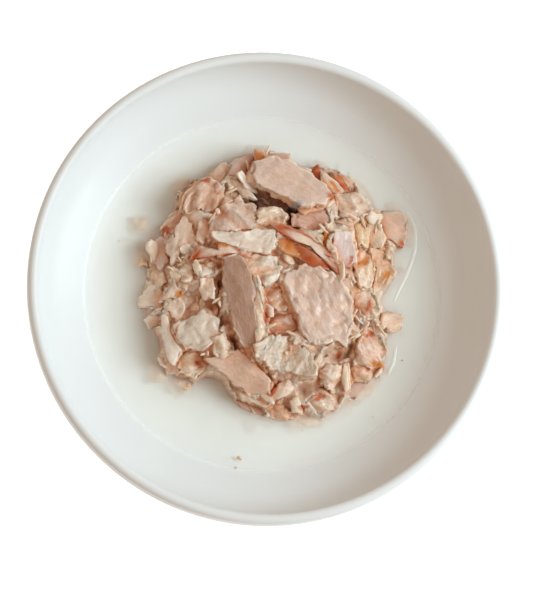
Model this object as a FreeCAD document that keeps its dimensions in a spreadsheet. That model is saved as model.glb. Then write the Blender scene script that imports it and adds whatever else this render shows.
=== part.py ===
import FreeCAD, Part
import math
import os
import random
import Sketcher

# A coupe bowl of flaked tuna in a shallow broth.
# Millimetres, +Z up, origin at the centre of the foot ring on the table.

SIZES = [
    # bowl
    ("rim_radius", 100.0),
    ("bowl_height", 40.0),
    ("lip_thickness", 4.4),
    ("side_curve_radius", 18.0),
    ("knuckle_radius", 12.0),
    ("wall_thickness", 5.2),
    ("well_floor_radius", 37.6),
    ("well_floor_level", 9.0),
    ("foot_radius", 50.0),
    ("foot_width", 5.0),
    ("foot_recess", 2.6),
    # broth
    ("broth_level", 16.8),
    # heap of flakes
    ("heap_length", 108.0),
    ("heap_width", 104.0),
    ("heap_top_level", 33.6),
    ("flake_bevel", 5.0),
    ("small_flake_length", 15.0),
]

# The large flakes that give the heap its outline, from the top of the pile outwards.
# (x, y, share of the heap's height, length, width, heading, slope down and outwards)
# Lengths in mm, angles in degrees; a heading of 0 lies along +X.
FLAKES = [
    (12, 45, 0.90, 36, 17, -25, 14),
    (-9, 54, 0.60, 17, 11, -30, 18),
    (-8, 19, 0.96, 31, 10, 3, 4),
    (-15, 32, 0.86, 20, 16, 40, 12),
    (-24, 41, 0.68, 18, 15, 60, 16),
    (-36, 22, 0.62, 21, 12, 70, 22),
    (-10, -9, 0.99, 39, 13, -72, 6),
    (23, -9, 0.97, 34, 26, -65, 5),
    (9, -29, 0.88, 29, 17, -28, 12),
    (-11, -36, 0.70, 33, 14, -27, 20),
    (-28, -18, 0.74, 21, 18, 30, 16),
    (-39, -20, 0.56, 24, 8, -78, 24),
    (-47, -3, 0.40, 13, 12, 10, 18),
    (-30, 4, 0.76, 20, 18, 0, 12),
    (-44, 12, 0.44, 20, 9, 80, 20),
    (19, 17, 0.98, 26, 9, -35, 6),
    (3, 30, 0.90, 15, 12, 10, 6),
    (0, 8, 0.92, 17, 15, 20, 0),
    (33, 19, 0.84, 18, 12, 90, 12),
    (36, 38, 0.62, 19, 12, -20, 16),
    (30, 50, 0.48, 14, 10, -60, 16),
    (47, 28, 0.52, 14, 12, -30, 16),
    (56, 29, 0.36, 16, 13, -40, 12),
    (44, 10, 0.66, 25, 19, -60, 16),
    (45, -22, 0.54, 20, 17, 10, 16),
    (53, -9, 0.38, 16, 11, 70, 14),
    (17, -44, 0.48, 30, 15, -10, 18),
    (29, -33, 0.66, 17, 14, 45, 16),
    (-18, -24, 0.80, 13, 10, 70, 12),
    (-34, -34, 0.36, 16, 12, -40, 14),
    (-38, 36, 0.34, 15, 10, 45, 14),
    (12, 55, 0.40, 20, 12, -8, 16),
]

# The plan, in mm, that the places above are laid out on, and its middle.
HEAP_PLAN = (108.0, 104.0)
HEAP_CENTRE = (2.0, 4.0)
FLAKE_SIDES = 9
FLAKE_RAGGEDNESS = 0.13
# A flake's rings from its root to its top: (fraction of its plan, fraction of its bevel).
FLAKE_SHOULDERS = [(1.0, -1.1), (1.0, -0.5), (0.80, 0.0)]
FLAKE_ROOT_SCALE = 0.72
LONGEST_ROOT = 0.55

# Stacked layers under the large flakes: (fraction of the plan, fraction of the height).
LAYERS = [(1.04, 0.29), (0.90, 0.48), (0.72, 0.65), (0.52, 0.80)]
LAYER_SIDES = 15
LAYER_RAGGEDNESS = 0.10
LAYER_TAPER = 0.90
# How far the layers reach past the well's floor before the cavity trims them.
FLOOR_OVERLAP = 1.0

# Lesser flakes between the large ones, highest in the middle of the heap.
SMALL_FLAKES = 26
SMALL_FLAKE_REACH = 0.47
SMALL_FLAKE_CROWN = 0.90
SMALL_FLAKE_FALL = 0.52
SMALL_FLAKE_SLOPE = 24.0
SMALL_FLAKE_WAIST = 0.7
GOLDEN_ANGLE = math.radians(137.5)


def make_sheet(doc):
    """The driving sizes, one aliased cell each."""
    sheet = doc.addObject("Spreadsheet::Sheet", "Sizes")
    for row, (alias, value) in enumerate(SIZES, start=1):
        sheet.set("A%d" % row, alias.replace("_", " "))
        sheet.set("B%d" % row, str(value))
        sheet.setAlias("B%d" % row, alias)
    doc.recompute()
    return sheet


def origin_plane(body, role):
    for feature in body.Origin.OriginFeatures:
        if feature.Role == role:
            return feature
    raise ValueError(role)


def upright_sketch(body, name):
    """A sketch on the XZ plane: its x is the radius and its y the height."""
    sketch = body.newObject("Sketcher::SketchObject", name)
    sketch.AttachmentSupport = (origin_plane(body, "XZ_Plane"), [""])
    sketch.MapMode = "FlatFace"
    return sketch


def point(x, y):
    return FreeCAD.Vector(x, y, 0)


def arc(centre, radius, start, end):
    """An arc drawn anticlockwise between two angles in degrees."""
    circle = Part.Circle(centre, FreeCAD.Vector(0, 0, 1), radius)
    return Part.ArcOfCircle(circle, math.radians(start), math.radians(end))


class Profile:
    """Collects a sketch's constraints and binds the named ones to the sheet."""

    def __init__(self, sketch):
        self.sketch = sketch

    def add(self, geometry, construction=False):
        return self.sketch.addGeometry(geometry, construction)

    def tie(self, *arguments):
        return self.sketch.addConstraint(Sketcher.Constraint(*arguments))

    def size(self, name, formula, *arguments):
        index = self.tie(*arguments)
        self.sketch.renameConstraint(index, name)
        self.sketch.setExpression("Constraints." + name, formula)


def well_geometry(sheet):
    """The inside wall is two tangent arcs: a wide one off the floor, a tight one up to the lip.

    Returns the radius of the wide arc and the direction, in degrees, of the point where they meet.
    """
    lip = sheet.lip_thickness / 2
    rise = sheet.bowl_height - lip - sheet.well_floor_level
    reach = sheet.rim_radius - 2 * lip - sheet.well_floor_radius
    side = sheet.side_curve_radius
    wide = (reach ** 2 + rise ** 2 - 2 * reach * side) / (2 * (rise - side))
    meeting = math.degrees(math.atan2(rise - wide, reach - side))
    return wide, meeting


def draw_well(profile, sheet):
    """Adds the inside of the bowl: floor line, wide arc and side arc. Returns their indices."""
    wide, meeting = well_geometry(sheet)
    floor = sheet.well_floor_level
    flat = sheet.well_floor_radius
    side = sheet.side_curve_radius
    inner = sheet.rim_radius - sheet.lip_thickness
    shoulder = sheet.bowl_height - sheet.lip_thickness / 2
    floor_line = profile.add(Part.LineSegment(point(0, floor), point(flat, floor)))
    wide_arc = profile.add(arc(point(flat, floor + wide), wide, -90, meeting))
    side_arc = profile.add(arc(point(inner - side, shoulder), side, meeting, 0))
    profile.tie("PointOnObject", floor_line, 1, -2)
    profile.tie("Horizontal", floor_line)
    profile.tie("Tangent", floor_line, 2, wide_arc, 1)
    profile.tie("Tangent", wide_arc, 2, side_arc, 1)
    profile.size("floor_level", "Sizes.well_floor_level", "DistanceY", -1, 1, floor_line, 1, floor)
    profile.size("floor_radius", "Sizes.well_floor_radius", "DistanceX", -1, 1, floor_line, 2, flat)
    profile.size("side_radius", "Sizes.side_curve_radius", "Radius", side_arc, side)
    profile.size("inner_radius", "Sizes.rim_radius - Sizes.lip_thickness",
                 "DistanceX", -1, 1, side_arc, 2, inner)
    profile.size("shoulder_level", "Sizes.bowl_height - Sizes.lip_thickness / 2",
                 "DistanceY", -1, 1, side_arc, 2, shoulder)
    profile.tie("Horizontal", side_arc, 3, side_arc, 2)
    return floor_line, wide_arc, side_arc


def revolve(body, sketch, name):
    feature = body.newObject("PartDesign::Revolution", name)
    feature.Profile = sketch
    feature.ReferenceAxis = (sketch, ["V_Axis"])
    feature.Angle = 360.0
    return feature


def make_cavity(doc, sheet):
    """The space inside the bowl, floor to lip. Broth and heap are cut from it, so they seat exactly."""
    body = doc.addObject("PartDesign::Body", "Cavity")
    sketch = upright_sketch(body, "CavityProfile")
    profile = Profile(sketch)
    floor_line, wide_arc, side_arc = draw_well(profile, sheet)
    inner = sheet.rim_radius - sheet.lip_thickness
    shoulder = sheet.bowl_height - sheet.lip_thickness / 2
    top_line = profile.add(Part.LineSegment(point(inner, shoulder), point(0, shoulder)))
    axis_line = profile.add(Part.LineSegment(point(0, shoulder), point(0, sheet.well_floor_level)))
    profile.tie("Coincident", side_arc, 2, top_line, 1)
    profile.tie("Coincident", top_line, 2, axis_line, 1)
    profile.tie("Coincident", axis_line, 2, floor_line, 1)
    profile.tie("Horizontal", top_line)
    profile.tie("Vertical", axis_line)
    revolve(body, sketch, "CavityRevolution")
    return body


def make_bowl(doc, sheet):
    """Thrown coupe bowl: full round lip, short upright band, round knuckle, foot ring."""
    body = doc.addObject("PartDesign::Body", "Bowl")
    sketch = upright_sketch(body, "BowlProfile")
    profile = Profile(sketch)
    floor_line, wide_arc, side_arc = draw_well(profile, sheet)

    rim = sheet.rim_radius
    lip = sheet.lip_thickness / 2
    inner = rim - 2 * lip
    shoulder = sheet.bowl_height - lip
    knuckle = sheet.knuckle_radius
    wide, _ = well_geometry(sheet)
    outer = wide + sheet.wall_thickness
    centre = point(sheet.well_floor_radius, sheet.well_floor_level + wide)
    # The knuckle touches the upright band and, from inside, the underside's wide arc.
    knuckle_x = rim - knuckle
    drop = math.sqrt((outer - knuckle) ** 2 - (knuckle_x - centre.x) ** 2)
    knuckle_centre = point(knuckle_x, centre.y - drop)
    turn = math.degrees(math.atan2(-drop, knuckle_x - centre.x))
    foot = sheet.foot_radius
    foot_in = foot - sheet.foot_width
    foot_top = centre.y - math.sqrt(outer ** 2 - (foot - centre.x) ** 2)
    foot_turn = math.degrees(math.atan2(foot_top - centre.y, foot - centre.x))
    recess = sheet.foot_recess

    lip_arc = profile.add(arc(point(rim - lip, shoulder), lip, 0, 180))
    band = profile.add(Part.LineSegment(point(rim, shoulder), point(rim, knuckle_centre.y)))
    knuckle_arc = profile.add(arc(knuckle_centre, knuckle, turn, 0))
    under_arc = profile.add(arc(centre, outer, foot_turn, turn))
    foot_wall = profile.add(Part.LineSegment(point(foot, foot_top), point(foot, 0)))
    foot_base = profile.add(Part.LineSegment(point(foot, 0), point(foot_in, 0)))
    recess_wall = profile.add(Part.LineSegment(point(foot_in, 0), point(foot_in, recess)))
    underside = profile.add(Part.LineSegment(point(foot_in, recess), point(0, recess)))
    axis_line = profile.add(Part.LineSegment(point(0, recess), point(0, sheet.well_floor_level)))
    gauge = profile.add(Part.LineSegment(point(centre.x, sheet.well_floor_level),
                                         point(centre.x, centre.y - outer)), True)

    profile.tie("Tangent", side_arc, 2, lip_arc, 2)
    profile.tie("Tangent", lip_arc, 1, band, 1)
    profile.tie("Tangent", band, 2, knuckle_arc, 2)
    profile.tie("Tangent", knuckle_arc, 1, under_arc, 2)
    profile.tie("Coincident", under_arc, 3, wide_arc, 3)
    profile.tie("Coincident", under_arc, 1, foot_wall, 1)
    profile.tie("Coincident", foot_wall, 2, foot_base, 1)
    profile.tie("Coincident", foot_base, 2, recess_wall, 1)
    profile.tie("Coincident", recess_wall, 2, underside, 1)
    profile.tie("Coincident", underside, 2, axis_line, 1)
    profile.tie("Coincident", axis_line, 2, floor_line, 1)
    profile.tie("Vertical", foot_wall)
    profile.tie("Horizontal", foot_base)
    profile.tie("Vertical", recess_wall)
    profile.tie("Horizontal", underside)
    profile.tie("Vertical", axis_line)
    profile.tie("PointOnObject", foot_wall, 2, -1)
    # The gauge line carries the wall thickness, measured straight down from the floor's edge.
    profile.tie("Coincident", gauge, 1, wide_arc, 1)
    profile.tie("Vertical", gauge)
    profile.tie("PointOnObject", gauge, 2, under_arc)
    profile.size("wall", "Sizes.wall_thickness", "DistanceY", gauge, 2, gauge, 1,
                 sheet.wall_thickness)
    profile.size("knuckle", "Sizes.knuckle_radius", "Radius", knuckle_arc, knuckle)
    profile.size("foot_outside", "Sizes.foot_radius", "DistanceX", -1, 1, foot_wall, 2, foot)
    profile.size("foot_band", "Sizes.foot_width", "DistanceX", foot_base, 2, foot_base, 1,
                 sheet.foot_width)
    profile.size("recess_depth", "Sizes.foot_recess", "DistanceY", recess_wall, 1,
                 recess_wall, 2, recess)
    revolve(body, sketch, "BowlRevolution")
    return body


def slab(rings):
    """A closed solid through similar rings, so that every side is flat."""
    faces = []
    for ring in (rings[0], rings[-1]):
        faces.append(Part.Face(Part.makePolygon(ring + ring[:1])))
    count = len(rings[0])
    for low, high in zip(rings, rings[1:]):
        for index in range(count):
            after = (index + 1) % count
            corners = [low[index], low[after], high[after], high[index], low[index]]
            faces.append(Part.Face(Part.makePolygon(corners)))
    solid = Part.Solid(Part.Shell(faces))
    if solid.Volume < 0:
        solid.reverse()
    return solid


def ragged_outline(length, width, sides, roughness, chance):
    """Corner points, about the origin, of a torn flake."""
    corners = []
    for index in range(sides):
        angle = 2 * math.pi * (index + chance.uniform(-0.28, 0.28)) / sides
        reach = chance.uniform(1 - roughness, 1)
        # A squarish oval: fuller at its corners than an ellipse.
        across = math.copysign(abs(math.cos(angle)) ** 0.8, math.cos(angle))
        along = math.copysign(abs(math.sin(angle)) ** 0.8, math.sin(angle))
        corners.append((length / 2 * across * reach, width / 2 * along * reach))
    return corners


def scaled_ring(corners, scale, level):
    return [FreeCAD.Vector(x * scale, y * scale, level) for x, y in corners]


def make_flake(place, size, bevel, heading, slope, root, chance):
    """One torn flake with a bevelled top at the given place, rooted down into the heap."""
    corners = ragged_outline(size[0], size[1], FLAKE_SIDES, FLAKE_RAGGEDNESS, chance)
    rings = [scaled_ring(corners, FLAKE_ROOT_SCALE, -root)]
    for scale, drop in FLAKE_SHOULDERS:
        rings.append(scaled_ring(corners, scale, drop * bevel))
    flake = slab(rings)
    flake.rotate(FreeCAD.Vector(), FreeCAD.Vector(0, 0, 1), heading)
    # The axis runs along the heap's edge, so that the flake's outer side is its low one.
    flake.rotate(FreeCAD.Vector(), FreeCAD.Vector(-place[1], place[0], 0), slope)
    flake.translate(FreeCAD.Vector(*place))
    return flake


def small_flakes(sheet, chance):
    """Lesser flakes on a sunflower spiral, which break up the layers between the large ones."""
    rows = []
    for index in range(SMALL_FLAKES):
        spread = math.sqrt((index + 0.5) / SMALL_FLAKES)
        angle = index * GOLDEN_ANGLE
        x = HEAP_CENTRE[0] + SMALL_FLAKE_REACH * HEAP_PLAN[0] * spread * math.cos(angle)
        y = HEAP_CENTRE[1] + SMALL_FLAKE_REACH * HEAP_PLAN[1] * spread * math.sin(angle)
        rise = SMALL_FLAKE_CROWN - SMALL_FLAKE_FALL * spread ** 2 + chance.uniform(-0.05, 0.05)
        length = sheet.small_flake_length * chance.uniform(0.8, 1.2)
        width = SMALL_FLAKE_WAIST * length
        heading = chance.uniform(0, 180)
        slope = SMALL_FLAKE_SLOPE * spread * chance.uniform(0.2, 1.2)
        rows.append((x, y, rise, length, width, heading, slope))
    return rows


def make_heap(doc, sheet, cavity):
    """The heap out to its uneven outline: stacked layers and the large flakes lying on them."""
    chance = random.Random(11)
    bottom = sheet.well_floor_level
    height = sheet.heap_top_level - bottom
    pieces = []
    for plan, rise in LAYERS:
        corners = ragged_outline(sheet.heap_length * plan, sheet.heap_width * plan,
                                 LAYER_SIDES, LAYER_RAGGEDNESS, chance)
        rings = [scaled_ring(corners, 1.0, -FLOOR_OVERLAP),
                 scaled_ring(corners, LAYER_TAPER, rise * height)]
        layer = slab(rings)
        layer.translate(FreeCAD.Vector(HEAP_CENTRE[0], HEAP_CENTRE[1], bottom))
        pieces.append(layer)
    for x, y, rise, length, width, heading, slope in FLAKES + small_flakes(sheet, chance):
        place = (x * sheet.heap_length / HEAP_PLAN[0], y * sheet.heap_width / HEAP_PLAN[1],
                 bottom + rise * height)
        root = min(max(rise * height + FLOOR_OVERLAP, 2 * sheet.flake_bevel), LONGEST_ROOT * height)
        pieces.append(make_flake(place, (length, width), sheet.flake_bevel,
                                 heading, slope, root, chance))
    bundle = doc.addObject("Part::Feature", "FlakeBundle")
    bundle.Shape = pieces[0].multiFuse(pieces[1:])
    heap = doc.addObject("Part::Common", "TunaHeap")
    heap.Base = bundle
    heap.Tool = cavity
    return heap


def make_broth(doc, cavity, heap):
    """The cavity filled to the broth's level, cut round the heap.

    Drops shut in between flakes are left out, so the broth is one pool.
    """
    fill = doc.addObject("Part::Cylinder", "BrothFill")
    fill.setExpression("Radius", "Sizes.rim_radius")
    fill.setExpression("Height", "Sizes.broth_level")
    pool = doc.addObject("Part::Common", "BrothPool")
    pool.Base = cavity
    pool.Tool = fill
    cut = doc.addObject("Part::Cut", "BrothRoundHeap")
    cut.Base = pool
    cut.Tool = heap
    doc.recompute()
    broth = doc.addObject("Part::Feature", "Broth")
    broth.Shape = max(cut.Shape.Solids, key=lambda solid: solid.Volume)
    return broth


def check_document(doc, nodes):
    for item in doc.Objects:
        if "Invalid" in item.State or "Error" in item.State:
            raise RuntimeError("failed: " + item.Label)
    for node in nodes:
        if node.Shape.isNull() or not node.Shape.isValid():
            raise RuntimeError("bad shape: " + node.Label)


def main():
    doc = FreeCAD.newDocument("TunaBowl")
    sheet = make_sheet(doc)
    cavity = make_cavity(doc, sheet)
    bowl = make_bowl(doc, sheet)
    doc.recompute()
    heap = make_heap(doc, sheet, cavity)
    broth = make_broth(doc, cavity, heap)
    bowl.Label = "bowl"
    broth.Label = "broth"
    heap.Label = "tuna_heap"
    doc.recompute()
    nodes = [bowl, broth, heap]
    check_document(doc, nodes)
    os.makedirs("parts", exist_ok=True)
    for node in nodes:
        node.Shape.exportStep("parts/%s.step" % node.Label)
        print(node.Label, "%.1f ml" % (node.Shape.Volume / 1000), len(node.Shape.Faces), "faces",
              len(node.Shape.Solids), "solids")


main()
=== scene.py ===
"""Bowl of flaked tuna cat food: white glaze, cloudy broth and a heap of torn flakes."""

import itertools
import math

import bpy
import numpy as np
from mathutils import Matrix, Vector


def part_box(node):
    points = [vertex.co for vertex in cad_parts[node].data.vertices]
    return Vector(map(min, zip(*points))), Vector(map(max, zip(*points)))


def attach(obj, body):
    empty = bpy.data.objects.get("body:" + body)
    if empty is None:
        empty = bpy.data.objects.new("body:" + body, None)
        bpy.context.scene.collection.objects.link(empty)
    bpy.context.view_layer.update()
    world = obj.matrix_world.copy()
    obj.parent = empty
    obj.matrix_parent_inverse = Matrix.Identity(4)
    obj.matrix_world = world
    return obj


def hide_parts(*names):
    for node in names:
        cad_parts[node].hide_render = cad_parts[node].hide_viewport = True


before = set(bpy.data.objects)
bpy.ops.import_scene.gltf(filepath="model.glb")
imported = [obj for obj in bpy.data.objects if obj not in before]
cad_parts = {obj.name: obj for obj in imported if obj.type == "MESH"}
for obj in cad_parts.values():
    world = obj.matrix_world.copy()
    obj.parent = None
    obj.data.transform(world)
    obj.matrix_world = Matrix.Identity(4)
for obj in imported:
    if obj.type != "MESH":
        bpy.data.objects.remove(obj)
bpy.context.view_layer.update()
bowl_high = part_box("bowl")[1]
broth_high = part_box("broth")[1]
heap_low, heap_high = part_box("tuna_heap")

# The heap is laid out in millimetres and turned into metres when its meshes are made.
MM = 0.001
FLOOR = heap_low.z / MM
HEAP_HEIGHT = (heap_high.z - heap_low.z) / MM
LEVEL = broth_high.z / MM
HEAP_CENTRE = ((heap_low.x + heap_high.x) / 2 / MM, (heap_low.y + heap_high.y) / 2 / MM)
HEAP_REACH = ((heap_high.x - heap_low.x) / 2 / MM, (heap_high.y - heap_low.y) / 2 / MM)

# Colours as seen on a screen, 0 to 1.
GLAZE = (0.93, 0.935, 0.93)
BROTH = (0.96, 0.945, 0.91)
TINTS = {
    "white": (0.94, 0.895, 0.845),
    "cream": (0.925, 0.85, 0.765),
    "pale": (0.92, 0.84, 0.77),
    "pink": (0.89, 0.795, 0.735),
    "mauve": (0.86, 0.76, 0.705),
    "skin": (0.755, 0.61, 0.525),
    "peach": (0.88, 0.755, 0.67),
    "milky": (0.895, 0.845, 0.785),
    "tan": (0.89, 0.765, 0.655),
    "straw": (0.91, 0.81, 0.68),
    "lavender": (0.905, 0.83, 0.805),
    "amber": (0.85, 0.52, 0.17),
    "rust": (0.77, 0.37, 0.12),
    "brown": (0.60, 0.38, 0.27),
    "silver": (0.70, 0.69, 0.69),
    # Umber serves only as painted shade in the heap's gaps.
    "umber": (0.40, 0.25, 0.19),
}
DARK_TINTS = ("amber", "rust", "brown")
# Small flakes draw from these: paler and pinker on the left, more yellow on the right.
PEACH_MIX = ["pale", "cream", "pink", "white", "cream", "peach", "pale", "pink"]
STRAW_MIX = ["cream", "straw", "tan", "pale", "straw", "cream", "peach", "white"]
# Painted light and shade on the flesh: a painted highlight at a torn rim and where flesh stands proud, and
# painted shade that darkens it from a crease to a crevice and the bottom of a gap.
PAINTED_HIGHLIGHT = (0.922, 0.888, 0.835)
CREVICE_SHADE = (0.73, 0.385, 0.195)
CAVITY_SHADE = (0.37, 0.115, 0.045)
# Painted shade in a crease: the flesh's colour takes this share of itself, warm as light that comes through
# the flesh.
CREASE_SHADE_SHARE = (1.0, 0.65, 0.45)


def linear(colour):
    """Screen colour to the linear values that shaders and colour attributes take."""
    colour = np.asarray(colour, float)
    return np.where(colour <= 0.04045, colour / 12.92, ((colour + 0.055) / 1.055) ** 2.4)


def smooth_step(value):
    value = np.clip(value, 0, 1)
    return value * value * (3 - 2 * value)


def blended(colours, other, share):
    return colours * (1 - share) + other * share


# -------- noise

TABLE = np.random.RandomState(5).permutation(256)
VALUES = np.random.RandomState(6).uniform(-1, 1, 256)
# Each seed looks at the noise from this much further on.
SEED_STEP = 7.31
# Each further layer is finer by this and half as strong.
FINER = 2.03


def noise(points, seed):
    """Smooth noise, about -1 to 1, at an array of points one unit of detail apart."""
    points = np.atleast_2d(points) + seed * SEED_STEP
    base = np.floor(points).astype(int)
    part = smooth_step(points - base)
    total = np.zeros(len(points))
    for corner in itertools.product((0, 1), repeat=3):
        cell = (base + np.array(corner)) & 255
        pick = TABLE[(TABLE[(TABLE[cell[:, 0]] + cell[:, 1]) & 255] + cell[:, 2]) & 255]
        weight = np.prod(np.where(np.array(corner), part, 1 - part), axis=1)
        total += weight * VALUES[pick]
    return total


def layered_noise(points, seed, layers):
    total = np.zeros(len(points))
    for layer in range(layers):
        total += noise(points * FINER ** layer, seed + layer) * 0.5 ** layer
    return total


def plan_noise(x, y, seed, layers=1):
    """Layered noise at places seen from above, in an array of their shape."""
    points = np.stack([x, y, np.zeros(x.shape)], -1).reshape(-1, 3)
    return layered_noise(points, seed, layers).reshape(x.shape)


def crumbling(points, size, seed):
    """A small random shift of each point, for grains of a size in mm."""
    return np.stack([layered_noise(points / size, seed + axis, 2) for axis in range(3)], 1)


# -------- shapes

def along_and_across(x, y, turn):
    """Distances along and across a direction given in radians."""
    return x * np.cos(turn) + y * np.sin(turn), -x * np.sin(turn) + y * np.cos(turn)


def turned(points, axis, degrees):
    """Points turned about an axis through the origin."""
    axis = np.asarray(axis, float)
    axis = axis / max(np.linalg.norm(axis), 1e-9)
    angle = math.radians(degrees)
    cross = np.cross(axis, points)
    dot = points @ axis
    return points * math.cos(angle) + cross * math.sin(angle) + np.outer(dot, axis) * (1 - math.cos(angle))


def grid_faces(index):
    """Faces with four corners between the points of a grid, given by their numbers."""
    corners = [index[:-1, :-1], index[1:, :-1], index[1:, 1:], index[:-1, 1:]]
    return np.stack(corners, -1).reshape(-1, 4)


def ring_faces(rows, around):
    """Faces of a grid whose every row closes to a ring."""
    index = np.arange(rows * around).reshape(rows, around)
    return grid_faces(np.hstack([index, index[:, :1]]))


def slab_faces(count_u, count_v):
    """Faces of a closed slab: a top and a bottom grid that share their rim."""
    top = np.arange(count_u * count_v).reshape(count_u, count_v)
    bottom = top.copy()
    inner = (count_u - 2) * (count_v - 2)
    bottom[1:-1, 1:-1] = np.arange(inner).reshape(count_u - 2, count_v - 2) + top.size
    return np.vstack([grid_faces(top), grid_faces(bottom)[:, ::-1]])


def polygon_reach(corners, angles):
    """Distance from the origin to a polygon's edge in each direction."""
    turn = np.arctan2(corners[:, 1], corners[:, 0])
    order = np.argsort(turn)
    turn, corners = turn[order], corners[order]
    after = np.searchsorted(turn, angles) % len(corners)
    start, end = corners[after - 1], corners[after]
    edge = end - start
    way = np.stack([np.cos(angles), np.sin(angles)], 1)
    cross = way[:, 0] * edge[:, 1] - way[:, 1] * edge[:, 0]
    cross = np.where(np.abs(cross) < 1e-9, 1e-9, cross)
    return (start[:, 0] * edge[:, 1] - start[:, 1] * edge[:, 0]) / cross


# -------- torn flakes

# Sizes in mm of a flake's forms, along and across its fibres.
THREADS = (7, 1.0)
STRANDS = (12, 2.6)
WANDERING = (5, 3)
CREASES = (7, 4.5)
CRACKS = (10, 4.0)
LEAVES = (9, 4.5)
# Sizes in mm of its forms from side to side and to and fro.
SWELLS = (9, 7)
LUMPS = (4.0, 3.4)
# The outline's tears, and the lanes in which fibres end, in mm.
TEAR = 3.0
LANE = 2.1
# Fine crumbling: its size in mm, how far it moves the top, and how much further a torn wall.
GRIT = 1.5
GRIT_ON_TOP = 0.06
GRIT_ON_WALL = 0.30
# The most that a flake's rim is rounded, in mm.
ROUNDEST = 0.9
# The middle of a crease lies this far off the flake's middle, and tips a side by one of these.
CREASE_PLACE = 4
CREASE_TIPS = [-0.18, 0.12]


def torn_plate(corners, thick, chance, step=0.6, grain=0.0, ragged=0.6, fibre=0.2, lump=0.3,
               crack=0.0, layer=0.0, fray=0.8, fold=0.0, crumple=0.0, bend=0.0, twist=0.0):
    """One torn flake lying flat about the middle of its corners.

    Returns its points, faces, grain coordinates and how near each point is to the rim, 0 to 1.
    """
    seed = chance.randint(0, 97)
    corners = np.asarray(corners, float)
    corners = corners - corners.mean(0)
    # The long way of the outline is one side of the grid.
    spans, axes = np.linalg.eigh(corners.T @ corners / len(corners))
    spans = np.sqrt(np.maximum(spans, 0.05))[::-1]
    axes = axes[:, ::-1]
    shape = corners @ axes / spans
    count_u = max(7, int(2.6 * spans[0] / step))
    count_v = max(6, int(2.6 * spans[1] / step))
    lines = [np.sin(np.linspace(-1, 1, count) * math.pi / 2) for count in (count_u, count_v)]
    u, v = [grid.ravel() for grid in np.meshgrid(*lines, indexing="ij")]
    inside = np.zeros((count_u, count_v), bool)
    inside[1:-1, 1:-1] = True
    inside = inside.ravel()
    rim = np.maximum(np.abs(u), np.abs(v))
    angles = np.arctan2(v, u)
    edge = polygon_reach(shape, angles)[:, None] * np.stack([np.cos(angles), np.sin(angles)], 1)
    edge = edge * spans @ axes.T
    tear = plan_noise(edge[:, 0] / TEAR, edge[:, 1] / TEAR, seed, 3)
    out = edge / np.maximum(np.linalg.norm(edge, axis=1), 1e-6)[:, None]
    plan = edge * rim[:, None] + out * (ragged * tear * rim ** 4)[:, None]
    # Where fibres end they end unevenly, so the outline frays along the grain.
    turn = math.radians(grain)
    fibre_way = np.array([math.cos(turn), math.sin(turn)])
    lane = plan @ (-fibre_way[1], fibre_way[0]) / LANE
    ends = np.clip(out @ fibre_way * 1.4, -1, 1)
    end = (ends > 0).astype(float)
    frayed = 0.6 * plan_noise(lane, end, seed + 18) + 0.6 * plan_noise(lane * 2.4, end, seed + 17)
    plan += (fray * frayed * ends * rim ** 5)[:, None] * fibre_way
    x, y = plan[:, 0], plan[:, 1]
    along, across = along_and_across(x, y, turn)

    def grained(size, seed_shift, layers=1, shift=0.0):
        return plan_noise(along / size[0], across / size[1] + shift, seed + seed_shift, layers)

    depth = (1 - rim) * np.linalg.norm(edge, axis=1)
    profile = np.sqrt(1 - (1 - np.clip(depth / min(ROUNDEST, 0.5 * thick), 0, 1)) ** 2)
    swell = 0.85 + 0.3 * plan_noise(x / SWELLS[0], y / SWELLS[1], seed + 5)
    wander = 0.8 * grained(WANDERING, 6)
    relief = fibre * grained(THREADS, 7, 1, wander)
    relief += fibre * grained(STRANDS, 8, 1, wander)
    relief += lump * plan_noise(x / LUMPS[0], y / LUMPS[1], seed + 9, 3)
    for _ in range(3 if fold else 0):
        # Creased along a straight line: one side tips up or down.
        way = turn + chance.normal(0, 0.5)
        off_x = x - chance.uniform(-CREASE_PLACE, CREASE_PLACE)
        off_y = y - chance.uniform(-CREASE_PLACE, CREASE_PLACE)
        dip = fold * chance.choice(CREASE_TIPS) * np.abs(along_and_across(off_x, off_y, way)[1])
        relief += dip - dip.mean()
    if crumple:
        folded = np.abs(grained(CREASES, 21, 2))
        relief += crumple * (folded - folded.mean()) * 2
    if crack:
        line = np.abs(grained(CRACKS, 10, 1, wander))
        relief -= crack * np.clip(1 - line * 10, 0, 1)
    if layer:
        # Leaves of flesh, with a steep step from each one to the next.
        level = 2.2 * grained(LEAVES, 13, 2)
        base = np.floor(level)
        relief += layer * (base + smooth_step((level - base - 0.42) / 0.16))
    sag = -bend * (rim * np.cos(angles)) ** 2
    top = thick / 2 * profile * swell + relief * profile + sag
    under = -thick / 2 * profile * (1.1 - 0.2 * swell) + 0.4 * relief * profile + sag

    points = np.vstack([np.stack([x, y, top], 1), np.stack([x, y, under], 1)[inside]])
    rims = np.concatenate([rim, rim[inside]])
    grains = np.stack([along, across], 1)
    grains = np.vstack([grains, grains[inside]]) + points[:, 2:]
    reach = GRIT_ON_TOP + GRIT_ON_WALL * rims[:, None] ** 8
    points += crumbling(points, GRIT, seed + 11) * reach * min(1.0, thick / 2.5)
    if twist:
        angle = math.radians(twist) * points[:, 0] / spans[0]
        y, z = points[:, 1].copy(), points[:, 2].copy()
        points[:, 1] = y * np.cos(angle) - z * np.sin(angle)
        points[:, 2] = y * np.sin(angle) + z * np.cos(angle)
    return points, slab_faces(count_u, count_v), grains, rims


def random_outline(length, width, heading, chance):
    """Corners of a small torn flake about its middle."""
    count = chance.randint(5, 9)
    angles = (np.arange(count) + chance.uniform(-0.3, 0.3, count)) * 2 * math.pi / count
    reach = chance.uniform(0.68, 1.12, count)
    x, y = length / 2 * reach * np.cos(angles), width / 2 * reach * np.sin(angles)
    return np.stack(along_and_across(x, y, -math.radians(heading)), 1)


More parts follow.
